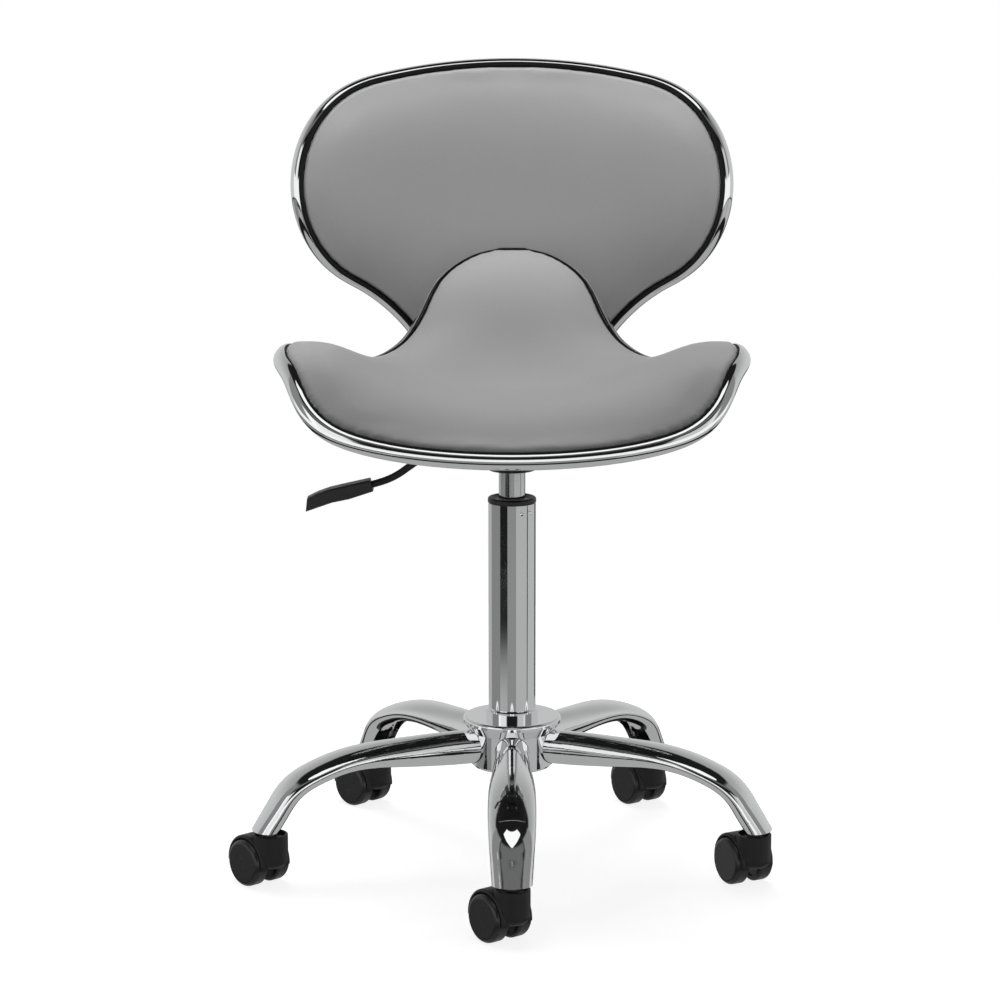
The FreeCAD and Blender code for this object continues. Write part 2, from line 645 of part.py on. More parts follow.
lever_grip = Part.makeLoft([
    grip_section(121.5, 45.9, 0.96 * GRIP_WIDE, GRIP_HIGH - 2.0, -16.0),
    grip_section(147.0, 52.9, GRIP_WIDE, GRIP_HIGH + 0.6, -14.0),
    grip_section(164.5, 56.8, GRIP_WIDE, GRIP_HIGH, -12.0),
    grip_section(178.0, 61.6, GRIP_WIDE, GRIP_HIGH, -6.0),
    grip_section(190.0, 66.6, 0.96 * GRIP_WIDE, GRIP_HIGH - 0.4, 6.0)], True, True)
lever_grip = lever_grip.cut(along_lever(LEVER_DIA / 2 + 0.15))
lever_grip = max(lever_grip.Solids, key=lambda piece: piece.Volume)
save("lever_grip", lever_grip)

# Gas lift: cylinder with its valve button, rod guide, piston rod, piston and clip
bore_r = CYLINDER_DIA / 2 - CYLINDER_WALL
gas_cylinder = turned([
    (bore_r, CYLINDER_FOOT_Z), (CYLINDER_DIA / 2, CYLINDER_FOOT_Z), (CYLINDER_DIA / 2, CUP_BOTTOM_Z),
    (taper_r(CYLINDER_TOP_Z), CYLINDER_TOP_Z), (BUTTON_DIA / 2 + RUN_FIT, CYLINDER_TOP_Z),
    (BUTTON_DIA / 2 + RUN_FIT, CYLINDER_TOP_Z - 10.0), (bore_r, CYLINDER_TOP_Z - 10.0)])
save("gas_cylinder", gas_cylinder)
valve_button = rod(BUTTON_DIA / 2, CYLINDER_TOP_Z - 5.0, BUTTON_TOP_Z)
valve_button = valve_button.makeChamfer(0.8, [valve_button.Edges[0]])
save("valve_button", valve_button)
rod_guide = rod(bore_r - RUN_FIT, CYLINDER_FOOT_Z, GUIDE_TOP_Z)
rod_guide = rod_guide.cut(rod(ROD_DIA / 2 + RUN_FIT, CYLINDER_FOOT_Z - 1, GUIDE_TOP_Z + 1))
save("rod_guide", rod_guide)
piston_rod = turned([
    (0, COLUMN_FOOT_Z - 5.0), (ROD_DIA / 2, COLUMN_FOOT_Z - 5.0), (ROD_DIA / 2, COLUMN_FOOT_Z - 3.0),
    (ROD_DIA / 2 - 1, COLUMN_FOOT_Z - 3.0), (ROD_DIA / 2 - 1, COLUMN_FOOT_Z - 1.5),
    (ROD_DIA / 2, COLUMN_FOOT_Z - 1.5), (ROD_DIA / 2, BEARING_TOP_Z + 0.1),
    (ROD_DIA / 2 + 4, BEARING_TOP_Z + 0.1), (ROD_DIA / 2 + 4, BEARING_TOP_Z + 5.0),
    (ROD_DIA / 2, BEARING_TOP_Z + 6.0), (ROD_DIA / 2, PISTON_Z + 15.0),
    (0, PISTON_Z + 15.0)])
save("piston_rod", piston_rod)
piston = rod(bore_r - RUN_FIT, PISTON_Z, PISTON_Z + 14.0)
save("piston", piston.cut(rod(ROD_DIA / 2 + RUN_FIT, PISTON_Z - 1, PISTON_Z + 20.0)))
rod_clip = rod(ROD_DIA / 2 + 4.0, COLUMN_FOOT_Z - 2.9, COLUMN_FOOT_Z - 1.6)
rod_clip = rod_clip.cut(rod(ROD_DIA / 2 - 1 + RUN_FIT, COLUMN_FOOT_Z - 5, COLUMN_FOOT_Z))
rod_clip = rod_clip.cut(block(-3.4, 3.4, 0.0, 20.0, COLUMN_FOOT_Z - 5, COLUMN_FOOT_Z))
save("rod_clip", rod_clip)

# Column: tapered tube with a closed foot, guide bush at the top and thrust bearing inside
column_tube = turned([
    (FOOT_HOLE_R, COLUMN_FOOT_Z), (COLUMN_FOOT_DIA / 2, COLUMN_FOOT_Z), (COLUMN_DIA / 2, COLLAR_TOP_Z),
    (COLUMN_DIA / 2, COLUMN_TOP_Z - 0.8), (COLUMN_DIA / 2 - 0.8, COLUMN_TOP_Z),
    (COLUMN_DIA / 2 - COLUMN_WALL, COLUMN_TOP_Z), (COLUMN_DIA / 2 - COLUMN_WALL, COLLAR_TOP_Z),
    (COLUMN_FOOT_DIA / 2 - COLUMN_WALL, COLUMN_FOOT_Z + FOOT), (FOOT_HOLE_R, COLUMN_FOOT_Z + FOOT)])
for dent_angle in DENT_ANGLES:
    ball = Part.makeSphere(3.6, Vector(COLUMN_DIA / 2 + 2.7, 0, COLUMN_TOP_Z - DENT_DROP))
    column_tube = column_tube.cut(turn(ball, dent_angle))
save("column_tube", column_tube)
sleeve_r = COLUMN_DIA / 2 - COLUMN_WALL - RUN_FIT
slide_r = CYLINDER_DIA / 2 + RUN_FIT
lip_r = COLUMN_DIA / 2 + 0.5
bush_top = COLUMN_TOP_Z + BUSH_RIM
column_bush = turned([
    (slide_r, COLUMN_TOP_Z - BUSH_LENGTH), (sleeve_r, COLUMN_TOP_Z - BUSH_LENGTH),
    (sleeve_r, COLUMN_TOP_Z + 0.1),
    (lip_r, COLUMN_TOP_Z + 0.1), (lip_r, bush_top), (lip_r - 4.0, bush_top),
    (lip_r - 5.5, bush_top - BUSH_DISH), (slide_r, bush_top - BUSH_DISH)])
bush_lip = [e for e in column_bush.Edges if e.Closed and e.BoundBox.ZMin > bush_top - 0.1]
bush_lip = [e for e in bush_lip if e.BoundBox.XMax > lip_r - 0.1]
column_bush = column_bush.makeFillet(BUSH_DISH, bush_lip)
save("column_bush", column_bush)
bearing = []
for low, high, outer in ((0.1, 2.1, 13.0), (2.2, 5.8, 12.0), (5.9, 7.9, 13.0)):
    base_z = COLUMN_FOOT_Z + FOOT
    ring = rod(outer, base_z + low, base_z + high)
    bearing.append(ring.cut(rod(ROD_DIA / 2 + 0.6, base_z - 1.0, base_z + 12.0)))
save("thrust_bearing", bearing)

# Hub: a turned boss with a flange, a collar and five sockets for the leg tubes
hub = turned([
    (column_r(HUB_BOTTOM_Z) + RUN_FIT, HUB_BOTTOM_Z), (HUB_DIA / 2 - 3, HUB_BOTTOM_Z),
    (HUB_DIA / 2, HUB_BOTTOM_Z + 3), (HUB_DIA / 2, HUB_TOP_Z - 16),
    (HUB_FLANGE_DIA / 2, HUB_TOP_Z - 2 * HUB_LIP),
    (HUB_FLANGE_DIA / 2, HUB_TOP_Z), (HUB_COLLAR_DIA / 2, HUB_TOP_Z),
    (HUB_COLLAR_DIA / 2, COLLAR_TOP_Z - 1.2), (HUB_COLLAR_DIA / 2 - 1.2, COLLAR_TOP_Z),
    (COLUMN_DIA / 2 + RUN_FIT, COLLAR_TOP_Z)])
hub_lip = [e for e in hub.Edges if e.Closed and e.BoundBox.XMax > HUB_FLANGE_DIA / 2 - 0.1]
hub_lip = [e for e in hub_lip if e.BoundBox.ZMin > HUB_TOP_Z - 0.1]
hub = hub.makeFillet(HUB_LIP, hub_lip)
for leg in range(LEG_COUNT):
    socket_start = Vector(SOCKET_R, 0, LEG_AXIS_Z)
    socket = Part.makeCylinder(LEG_TUBE_DIA / 2 + SEAT_FIT, HUB_DIA, socket_start, Vector(1, 0, 0))
    hub = hub.cut(turn(socket, FIRST_LEG_ANGLE + leg * 360.0 / LEG_COUNT))
save("hub", hub)

# Legs: round tube at the hub, flattened and bent down, open underneath at the outer end
drop = math.radians(LEG_DROP_ANGLE)
ease = math.radians(LEG_BEND_ANGLE)
fall = LEG_BEND_RADIUS * (1 - math.cos(ease)) + LEG_TIP_BEND_RADIUS * (math.cos(ease) - math.cos(drop))
reach = LEG_BEND_RADIUS * math.sin(ease) + LEG_TIP_BEND_RADIUS * (math.sin(drop) - math.sin(ease))
tip_run = (LEG_RISE - fall) / math.sin(drop)
bend_r = LEG_REACH - reach - tip_run * math.cos(drop)
straight = bend_r - SOCKET_R - SEAT_FIT
bend = LEG_BEND_RADIUS * ease
tip_bend = LEG_TIP_BEND_RADIUS * (drop - ease)


def leg_place(d):
    """Centre and upward normal of the leg at distance d from the hub."""
    r = bend_r - straight + min(d, straight)
    z = LEG_AXIS_Z
    a = max(0.0, min(d - straight, bend)) / LEG_BEND_RADIUS
    r += LEG_BEND_RADIUS * math.sin(a)
    z -= LEG_BEND_RADIUS * (1 - math.cos(a))
    b = a + max(0.0, min(d - straight - bend, tip_bend)) / LEG_TIP_BEND_RADIUS
    r += LEG_TIP_BEND_RADIUS * (math.sin(b) - math.sin(a))
    z -= LEG_TIP_BEND_RADIUS * (math.cos(a) - math.cos(b))
    past = max(0.0, d - straight - bend - tip_bend)
    r += past * math.cos(drop)
    z -= past * math.sin(drop)
    return Vector(r, 0, z), Vector(math.sin(b), 0, math.cos(b))


def pressed(share):
    """Width and thickness of the tube, from round to fully flattened."""
    wide = LEG_TUBE_DIA + (LEG_WIDE - LEG_TUBE_DIA) * share
    return wide, LEG_TUBE_DIA + (LEG_FLAT - LEG_TUBE_DIA) * share


def narrowed(share):
    """Width and thickness of the tube, from fully flattened to its open end."""
    return LEG_WIDE + (LEG_TIP_WIDE - LEG_WIDE) * share, LEG_FLAT + (LEG_TIP_FLAT - LEG_FLAT) * share


leg_end = straight + bend + tip_bend + tip_run
LEG_RUN = [
    (0.0, pressed(0.0)), (0.10 * straight, pressed(0.0)), (0.22 * straight, pressed(0.0)),
    (0.38 * straight, pressed(0.06)), (0.65 * straight, pressed(0.28)), (straight, pressed(0.65)),
    (straight + 0.35 * bend, pressed(0.9)), (straight + 0.7 * bend, pressed(1.0)),
    (straight + bend, narrowed(0.05)), (straight + bend + 0.5 * tip_bend, narrowed(0.2)),
    (straight + bend + tip_bend, narrowed(0.45)), (leg_end - 0.5 * tip_run, narrowed(0.72)),
    (leg_end, narrowed(1.0)), (leg_end + 12.0, narrowed(1.15)), (leg_end + 24.0, narrowed(1.25))]


def leg_loft(shrink, early):
    wires = []
    for d, (wide, flat) in LEG_RUN:
        place, normal = leg_place(d - (early if d == 0.0 else 0.0))
        side = place + Vector(0, wide / 2 - shrink, 0)
        top = place + normal * (flat / 2 - shrink - 0.02)
        wires.append(Part.Wire([Part.Ellipse(side, top, place).toShape()]))
    return Part.makeLoft(wires, True)


def slot_section(d):
    place, normal = leg_place(d)
    half = 0.29 * LEG_WIDE
    near = normal * -(LEG_FLAT / 2 - 6.0)
    deep = normal * -(LEG_FLAT / 2 + 8.0)
    a = Vector(0, half, 0)
    corners = [place + near - a, place + near + a, place + deep + a, place + deep - a]
    return Part.makePolygon(corners + corners[:1])


floor_cut = block(LEG_REACH - 90, LEG_REACH + 90, -80, 80, LEG_END_Z - 80, LEG_END_Z)
slot_steps = [straight + 0.1 * bend, straight + 0.4 * bend, straight + 0.7 * bend, straight + bend,
              straight + bend + 0.5 * tip_bend, straight + bend + tip_bend, leg_end + 20.0]
slot = Part.makeLoft([slot_section(d) for d in slot_steps], True, True)
leg = leg_loft(0.0, 0.0).cut(leg_loft(LEG_WALL, 2.0)).cut(slot).cut(floor_cut)
leg = max(leg.Solids, key=lambda piece: piece.Volume)
stem_plate = leg_loft(LEG_WALL + SEAT_FIT, 2.0)
stem_plate = stem_plate.common(block(0, LEG_REACH + 60, -40, 40, LEG_END_Z + 0.2, LEG_END_Z + 3.7))
stem_plate = stem_plate.cut(rod(STEM_DIA / 2 + 0.2, LEG_END_Z - 1, LEG_END_Z + 9, STEM_RADIUS))
stem_plate = max(stem_plate.Solids, key=lambda piece: piece.Volume)
stem_seat_z = BOSS_TOP_Z - BOSS_DISH + 0.3
stem = turned([
    (0, BOSS_TOP_Z - 30.0), (STEM_DIA / 2 - 1, BOSS_TOP_Z - 30.0), (STEM_DIA / 2, BOSS_TOP_Z - 29.0),
    (STEM_DIA / 2, stem_seat_z), (7.0, stem_seat_z), (7.0, LEG_END_Z + 0.1),
    (STEM_DIA / 2, LEG_END_Z + 0.1), (STEM_DIA / 2, LEG_END_Z + 13.0),
    (STEM_DIA / 2 - 1, LEG_END_Z + 14.0), (0, LEG_END_Z + 14.0)])
stem_nut = hexagon(16.0, LEG_END_Z + 3.8, LEG_END_Z + 11.5)
stem_nut = turn(stem_nut.cut(rod(STEM_DIA / 2 + RUN_FIT, LEG_END_Z, LEG_END_Z + 20.0)), 30.0)

# Caster: a hood with its stem boss, an axle and two wheels, trailing along +X here
axle_z = WHEEL_DIA / 2
hood_r = WHEEL_DIA / 2 + 4.5
wheel_y = WHEEL_GAP / 2
hood = rod(BOSS_DIA / 2, axle_z - 3.0, BOSS_TOP_Z)
for height, radius in ((BOSS_TOP_Z, 1.2), (axle_z - 3.0, 8.0)):
    hood_edge = [e for e in hood.Edges if e.Closed and abs(e.BoundBox.Center.z - height) < 0.01]
    hood = hood.makeFillet(radius, hood_edge)
fender = cross_pin(hood_r, -wheel_y - WHEEL_WIDTH + 4.0, wheel_y + WHEEL_WIDTH - 4.0, CASTER_TRAIL, axle_z)
fender = fender.makeFillet(2.5, [e for e in fender.Edges if e.Closed])
fender = fender.cut(block(-99, 99, -99, 99, -99, axle_z - 2.0))
web = cross_pin(11.0, -wheel_y + 0.6, wheel_y - 0.6, CASTER_TRAIL, axle_z)
hood = hood.fuse(fender).fuse(web)
for side in (1, -1):
    near, far = sorted((side * (wheel_y - 0.6), side * (wheel_y + WHEEL_WIDTH + 12.0)))
    hood = hood.cut(cross_pin(WHEEL_DIA / 2 + 1.4, near, far, CASTER_TRAIL, axle_z))
hood = hood.cut(rod(STEM_DIA / 2 + RUN_FIT, BOSS_TOP_Z - 31.0, BOSS_TOP_Z + 5.0))
hood = hood.cut(rod(BOSS_DIA / 2 - 2.4, BOSS_TOP_Z - BOSS_DISH, BOSS_TOP_Z + 5.0))
hood = hood.cut(cross_pin(AXLE_DIA / 2 + RUN_FIT, -40, 40, CASTER_TRAIL, axle_z))
hood = max(hood.Solids, key=lambda piece: piece.Volume)
axle = cross_pin(AXLE_DIA / 2, -wheel_y - 12.4, wheel_y + 12.4, CASTER_TRAIL, axle_z)
wheel_r = WHEEL_DIA / 2
wheel = turned([
    (AXLE_DIA / 2 + RUN_FIT, 0), (10, 0), (10, 3), (wheel_r - 5, 3), (wheel_r - 5, 0.8),
    (wheel_r - 1.8, 0.8), (wheel_r, 2.6), (wheel_r, WHEEL_WIDTH), (0, WHEEL_WIDTH),
    (0, WHEEL_WIDTH - 4), (AXLE_DIA / 2 + RUN_FIT, WHEEL_WIDTH - 4)])
shoulder = [e for e in wheel.Edges if e.Closed and e.BoundBox.ZMin > WHEEL_WIDTH - 0.1]
wheel = wheel.makeFillet(WHEEL_SHOULDER, [e for e in shoulder if e.Length > 6.0 * wheel_r])
left_wheel = wheel.copy()
left_wheel.rotate(ORIGIN, Vector(1, 0, 0), -90)
left_wheel.translate(Vector(CASTER_TRAIL, wheel_y, axle_z))
right_wheel = wheel.copy()
right_wheel.rotate(ORIGIN, Vector(1, 0, 0), 90)
right_wheel.translate(Vector(CASTER_TRAIL, -wheel_y, axle_z))

LEG_NAMES = ["front", "right_front", "right_rear", "left_rear", "left_front"]
stem_plates = []
stems = []
stem_nuts = []
for number, name in enumerate(LEG_NAMES):
    angle = FIRST_LEG_ANGLE + number * 360.0 / LEG_COUNT
    yaw = CASTER_YAWS[number]
    stem_x = STEM_RADIUS * math.cos(math.radians(angle))
    stem_y = STEM_RADIUS * math.sin(math.radians(angle))
    save("leg_" + name, turn(leg, angle))
    stem_plates.append(turn(stem_plate, angle))
    stems.append(shift(stem, stem_x, stem_y))
    stem_nuts.append(shift(turn(stem_nut, angle), stem_x, stem_y))
    save("hood_" + name, shift(turn(hood, yaw), stem_x, stem_y))
    save("axle_" + name, shift(turn(axle, yaw), stem_x, stem_y))
    save("wheel_a_" + name, shift(turn(left_wheel, yaw), stem_x, stem_y))
    save("wheel_b_" + name, shift(turn(right_wheel, yaw), stem_x, stem_y))
save("stem_plates", stem_plates)
save("caster_stems", stems)
save("stem_nuts", stem_nuts)
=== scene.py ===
import math

import bpy
import numpy as np
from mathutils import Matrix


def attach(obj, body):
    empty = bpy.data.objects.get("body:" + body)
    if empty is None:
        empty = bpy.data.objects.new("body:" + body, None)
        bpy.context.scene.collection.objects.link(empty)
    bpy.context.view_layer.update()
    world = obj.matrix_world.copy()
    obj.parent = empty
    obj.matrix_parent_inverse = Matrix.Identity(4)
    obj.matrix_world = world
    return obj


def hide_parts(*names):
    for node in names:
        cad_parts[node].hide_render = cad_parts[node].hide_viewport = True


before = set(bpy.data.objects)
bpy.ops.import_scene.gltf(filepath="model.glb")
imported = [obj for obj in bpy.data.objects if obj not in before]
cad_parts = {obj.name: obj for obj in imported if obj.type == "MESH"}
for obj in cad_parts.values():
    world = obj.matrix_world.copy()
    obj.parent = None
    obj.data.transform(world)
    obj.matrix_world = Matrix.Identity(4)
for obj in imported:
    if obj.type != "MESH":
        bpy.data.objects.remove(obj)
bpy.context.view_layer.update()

# Star base: a pressed hub, five bent legs and the column, all steel tube, welded and polished.
# They are plated together after welding, so they share one bright chrome with a faint haze
# where the polishing wheel and later cleaning cloths have passed.


class Shade:
    """A socket in a finish. Sums on it add Math nodes, and node() adds any other node."""

    def __init__(self, tree, socket=None):
        self.tree = tree
        self.socket = socket

    def node(self, kind, settings=None, inputs=None, output=0):
        made = self.tree.nodes.new(kind)
        for name, value in (settings or {}).items():
            setattr(made, name, value)
        for name, value in (inputs or {}).items():
            if isinstance(value, Shade):
                self.tree.links.new(value.socket, made.inputs[name])
            else:
                made.inputs[name].default_value = value
        return Shade(self.tree, made.outputs[output] if made.outputs else None)

    def sum(self, operation, first, second=0.0):
        return self.node("ShaderNodeMath", {"operation": operation}, {0: first, 1: second})

    def __add__(self, other):
        return self.sum("ADD", self, other)

    __radd__ = __add__

    def __sub__(self, other):
        return self.sum("SUBTRACT", self, other)

    def __rsub__(self, other):
        return self.sum("SUBTRACT", other, self)

    def __mul__(self, other):
        return self.sum("MULTIPLY", self, other)

    __rmul__ = __mul__

    def rise(self, low, high):
        """Climbs smoothly from 0 at low to 1 at high."""
        limits = {"Value": self, "From Min": low, "From Max": high}
        return self.node("ShaderNodeMapRange", {"interpolation_type": "SMOOTHSTEP"}, limits)

    def noise(self, scale, detail=2.0, stretch=(1.0, 1.0, 1.0)):
        place = self.node("ShaderNodeMapping", inputs={"Vector": self, "Scale": stretch})
        sockets = {"Vector": place, "Scale": scale, "Detail": detail}
        return self.node("ShaderNodeTexNoise", inputs=sockets)

    def blend(self, dark, light):
        """A grey or colour between two, with this socket as the share of the second."""
        sockets = {0: self, 6: (*dark, 1.0), 7: (*light, 1.0)}
        return self.node("ShaderNodeMix", {"data_type": "RGBA"}, sockets, output=2)

    def bump(self, strength, depth):
        sockets = {"Height": self, "Strength": strength, "Distance": depth}
        return self.node("ShaderNodeBump", inputs=sockets)


def new_finish(name):
    """An empty finish, and the object coordinates that its pattern is laid out on."""
    finish = bpy.data.materials.new(name)
    finish.use_nodes = True
    finish.node_tree.nodes.clear()
    return finish, Shade(finish.node_tree).node("ShaderNodeTexCoord", output="Object")


def lay(place, sockets):
    """Closes a finish with one shader that has these sockets."""
    shader = place.node("ShaderNodeBsdfPrincipled", inputs=sockets)
    place.node("ShaderNodeOutputMaterial", inputs={"Surface": shader})


def dress(finish, nodes):
    for node in nodes:
        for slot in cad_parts[node].material_slots:
            slot.material = finish


LEGS = ("front", "right_front", "right_rear", "left_rear", "left_front")
bright_chrome, place = new_finish("bright_chrome")
haze = place.noise(11.0, 4.0)
wipes = place.noise(160.0, 3.0, (1.0, 1.0, 0.12))
lay(place, {
    "Base Color": haze.blend((0.83, 0.84, 0.85), (0.90, 0.905, 0.91)),
    "Metallic": 1.0,
    "Roughness": 0.025 + 0.045 * haze.rise(0.42, 0.72) + 0.02 * wipes,
    "Normal": wipes.bump(0.006, 0.0001),
})
dress(bright_chrome, ["hub", "column_tube"] + ["leg_" + leg for leg in LEGS])

# Column bush: a moulded black nylon ring pressed into the column's top, which guides the cylinder.
# The dished face inside its lip is coloured pale grey with a faint mottle, and is smoother than the rest.
bush_nylon, place = new_finish("bush_nylon")
DISH_RADIUS = 0.0204
east = place.node("ShaderNodeSeparateXYZ", inputs={"Vector": place}, output="X")
north = place.node("ShaderNodeSeparateXYZ", inputs={"Vector": place}, output="Y")
from_axis = place.sum("SQRT", east * east + north * north)
pale_dish_face = 1.0 - from_axis.rise(DISH_RADIUS - 0.0004, DISH_RADIUS + 0.0004)
bush_mottle = place.noise(240.0, 3.0)
lay(place, {
    "Base Color": (pale_dish_face * (0.75 + 0.25 * bush_mottle)).blend((0.016, 0.016, 0.017), (0.42, 0.42, 0.43)),
    "Roughness": 0.34 + 0.12 * bush_mottle - 0.14 * pale_dish_face,
    "Normal": bush_mottle.bump(0.06, 0.0002),
})
dress(bush_nylon, ["column_bush"])

# Caster stems, their plates and nuts: turned and pressed steel under the leg ends.
# They are zinc plated, which leaves a dull, slightly mottled grey.
zinc_plate, place = new_finish("zinc_plate")
mottle = place.noise(260.0, 4.0)
lay(place, {
    "Base Color": mottle.blend((0.50, 0.50, 0.49), (0.66, 0.66, 0.63)),
    "Metallic": 1.0,
    "Roughness": 0.28 + 0.2 * mottle,
    "Normal": mottle.bump(0.05, 0.0001),
})
dress(zinc_plate, ["caster_stems", "stem_nuts", "plate_bolts", "bar_bolts", "bar_nuts", "tee_nuts"])

# Caster hoods: each is one moulding, the boss that takes the stem and the fender over both wheels.
# The nylon is satin black, with a faint spark texture from the mould.
satin_nylon, place = new_finish("satin_black_nylon")
spark = place.noise(1900.0, 3.0)
cloud = place.noise(24.0, 3.0)
lay(place, {
    "Base Color": cloud.blend((0.012, 0.012, 0.013), (0.020, 0.020, 0.021)),
    "Roughness": 0.36 + 0.14 * spark,
    "Specular IOR Level": 0.4,
    "Normal": spark.bump(0.1, 0.0002),
})
dress(satin_nylon, ["hood_" + leg for leg in LEGS])

# Caster wheels: two wheels a caster with flat faces and round shoulders, in hard glossy nylon.
# Their faces are smooth, and the treads are dulled by the floor.
glossy_nylon, place = new_finish("glossy_black_nylon")
scuffs = place.noise(90.0, 4.0)
dulled = place.noise(38.0, 2.0)
lay(place, {
    "Base Color": dulled.blend((0.030, 0.030, 0.031), (0.037, 0.037, 0.038)),
    "Roughness": 0.2 + 0.08 * scuffs.rise(0.45, 0.8) + 0.05 * dulled,
    "Normal": scuffs.bump(0.01, 0.0001),
})
dress(glossy_nylon, ["wheel_" + side + leg for leg in LEGS for side in ("a_", "b_")])

# Gas cylinder: a drawn steel tube that slides in the column's bush and carries the seat.
# It is plated and polished, with fine upright streaks where the bush has run.
polished_steel, place = new_finish("polished_steel")
runs = place.noise(1.0, 3.0, (700.0, 700.0, 7.0))
lay(place, {
    "Base Color": runs.blend((0.78, 0.785, 0.79), (0.88, 0.885, 0.89)),
    "Metallic": 1.0,
    "Roughness": 0.05 + 0.06 * runs,
    "Normal": runs.bump(0.008, 0.0001),
})
dress(polished_steel, ["gas_cylinder"])

# Lift rod, its bearing and clip, the lever's pivot, the valve button and the axles: turned steel.
# The steel is ground along its length, which leaves fine streaks.
ground_steel, place = new_finish("ground_steel")
streaks = place.noise(1.0, 3.0, (900.0, 900.0, 9.0))
lay(place, {
    "Base Color": streaks.blend((0.56, 0.57, 0.58), (0.74, 0.745, 0.75)),
    "Metallic": 1.0,
    "Roughness": 0.1 + 0.1 * streaks,
    "Normal": streaks.bump(0.04, 0.0001),
})
dress(ground_steel, ["piston_rod", "rod_clip", "thrust_bearing", "lever_pivot", "valve_button"])
dress(ground_steel, ["axle_" + leg for leg in LEGS])

# Piston and rod guide: rubber and plastic seals inside the lift.
# They are dull black and only show in a cut view.
dull_seal, place = new_finish("dull_seal")
bloom = place.noise(300.0, 3.0)
lay(place, {
    "Base Color": bloom.blend((0.06, 0.06, 0.06), (0.12, 0.12, 0.12)),
    "Roughness": 0.62 + 0.2 * bloom,
    "Normal": bloom.bump(0.06, 0.0001),
})
dress(dull_seal, ["rod_guide", "piston"])

# Seat plate, taper cup, back bar and spacers: cut, bent and welded steel, bolted under the seat.
# They are powder coated black, with the fine orange peel that powder leaves.
powder_coat, place = new_finish("black_powder_coat")
peel = place.noise(620.0, 2.0)
dust = place.noise(30.0, 4.0)
lay(place, {
    "Base Color": dust.blend((0.016, 0.016, 0.017), (0.027, 0.027, 0.028)),
    "Roughness": 0.4 + 0.14 * dust,
    "Specular IOR Level": 0.35,
    "Normal": peel.bump(0.1, 0.0002),
})
dress(powder_coat, ["seat_plate", "taper_cup", "back_bar", "plate_spacers", "stem_plates"])

# Lever rod: a steel rod with an eye at its pivot and a nose over the valve, bent down to the grip.
# The eye and nose are kept from the CAD form, and the bent length is swept anew through the same bends,
# evenly round all the way, and welded on. Bends are given out from the pivot and down from it.
ROD_RADIUS = 0.00385
ROD_ROUNDING = 6
ROD_CREASE = math.radians(40)
EYE_END = -0.0335
PIVOT_X = -0.026
PIVOT_Z = 0.4598
MERGE_WITHIN = 0.00002
ROD_BENDS = ((0.006, 0.0004), (0.030, 0.003), (0.058, 0.011), (0.0803, 0.0256), (0.094, 0.0351),
             (0.1048, 0.0405), (0.1219, 0.046), (0.150, 0.0545))


def all_off():
    bpy.ops.object.select_all(action="DESELECT")


def copied(node, name):
    """A piece with its own merged copy of a CAD node's mesh."""
    all_off()
    piece = bpy.data.objects.new(name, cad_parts[node].data.copy())
    bpy.context.scene.collection.objects.link(piece)
    bpy.context.view_layer.objects.active = piece
    piece.select_set(True)
    bpy.ops.mesh.customdata_custom_splitnormals_clear()
    bpy.ops.object.mode_set(mode="EDIT")
    bpy.ops.mesh.select_all(action="SELECT")
    bpy.ops.mesh.remove_doubles(threshold=MERGE_WITHIN)
    bpy.ops.mesh.normals_make_consistent(inside=False)
    bpy.ops.object.mode_set(mode="OBJECT")
    return piece


def modified(piece, kind, **settings):
    """Adds a modifier with these settings and applies it."""
    made = piece.modifiers.new(kind.lower(), kind)
    for name, value in settings.items():
        setattr(made, name, value)
    bpy.ops.object.modifier_apply(modifier=made.name)


all_off()
bpy.ops.curve.primitive_bezier_curve_add(location=(0.0, 0.0, 0.0))
bent_length = bpy.context.object
bends = bent_length.data.splines[0].bezier_points
bends.add(len(ROD_BENDS) - len(bends))
for bend, (out, down) in zip(bends, ROD_BENDS):
    bend.co = (PIVOT_X - out, 0.0, PIVOT_Z - down)
    bend.handle_left_type = "AUTO"
    bend.handle_right_type = "AUTO"
bent_length.data.bevel_depth = ROD_RADIUS
bent_length.data.bevel_resolution = ROD_ROUNDING
bent_length.data.use_fill_caps = True
bpy.ops.object.convert(target="MESH")
lever = copied("lever_rod", "bent_lever_rod")
bpy.ops.object.mode_set(mode="EDIT")
bpy.ops.mesh.select_all(action="SELECT")
bpy.ops.mesh.bisect(plane_co=(EYE_END, 0.0, 0.0), plane_no=(1.0, 0.0, 0.0), use_fill=True, clear_inner=True)
bpy.ops.object.mode_set(mode="OBJECT")
modified(lever, "BOOLEAN", object=bent_length, operation="UNION", solver="EXACT")
bpy.data.objects.remove(bent_length)
bpy.ops.object.shade_smooth_by_angle(angle=ROD_CREASE)
lever.data.materials.clear()
lever.data.materials.append(powder_coat)
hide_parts("lever_rod")
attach(lever, "lever")

# Lever grip: a flat moulded paddle pushed on to the lever rod.
# It is a greyer, satin plastic, rubbed a little smoother where fingers pull it. The rod fills its
# socket, so the CAD form's socket is taken out and its mouth closed round the rod.
satin_grip, place = new_finish("satin_grip")
rubbed = place.noise(60.0, 3.0)
grip_spark = place.noise(1600.0, 2.0)
lay(place, {
    "Base Color": rubbed.blend((0.026, 0.026, 0.027), (0.038, 0.038, 0.040)),
    "Roughness": 0.4 + 0.14 * rubbed,
    "Normal": grip_spark.bump(0.12, 0.0002),
})
SOCKET_REACH = 0.0012
GRIP_CREASE = math.radians(30)
grip = copied("lever_grip", "grip_paddle")
in_socket = []
for vertex in grip.data.vertices:
    spot, facing = lever.closest_point_on_mesh(vertex.co)[1:3]
    clear = vertex.co - spot
    in_socket.append(clear.length < SOCKET_REACH or clear.dot(facing) < 0.0)
bpy.ops.object.mode_set(mode="EDIT")
bpy.ops.mesh.select_all(action="DESELECT")
bpy.ops.object.mode_set(mode="OBJECT")
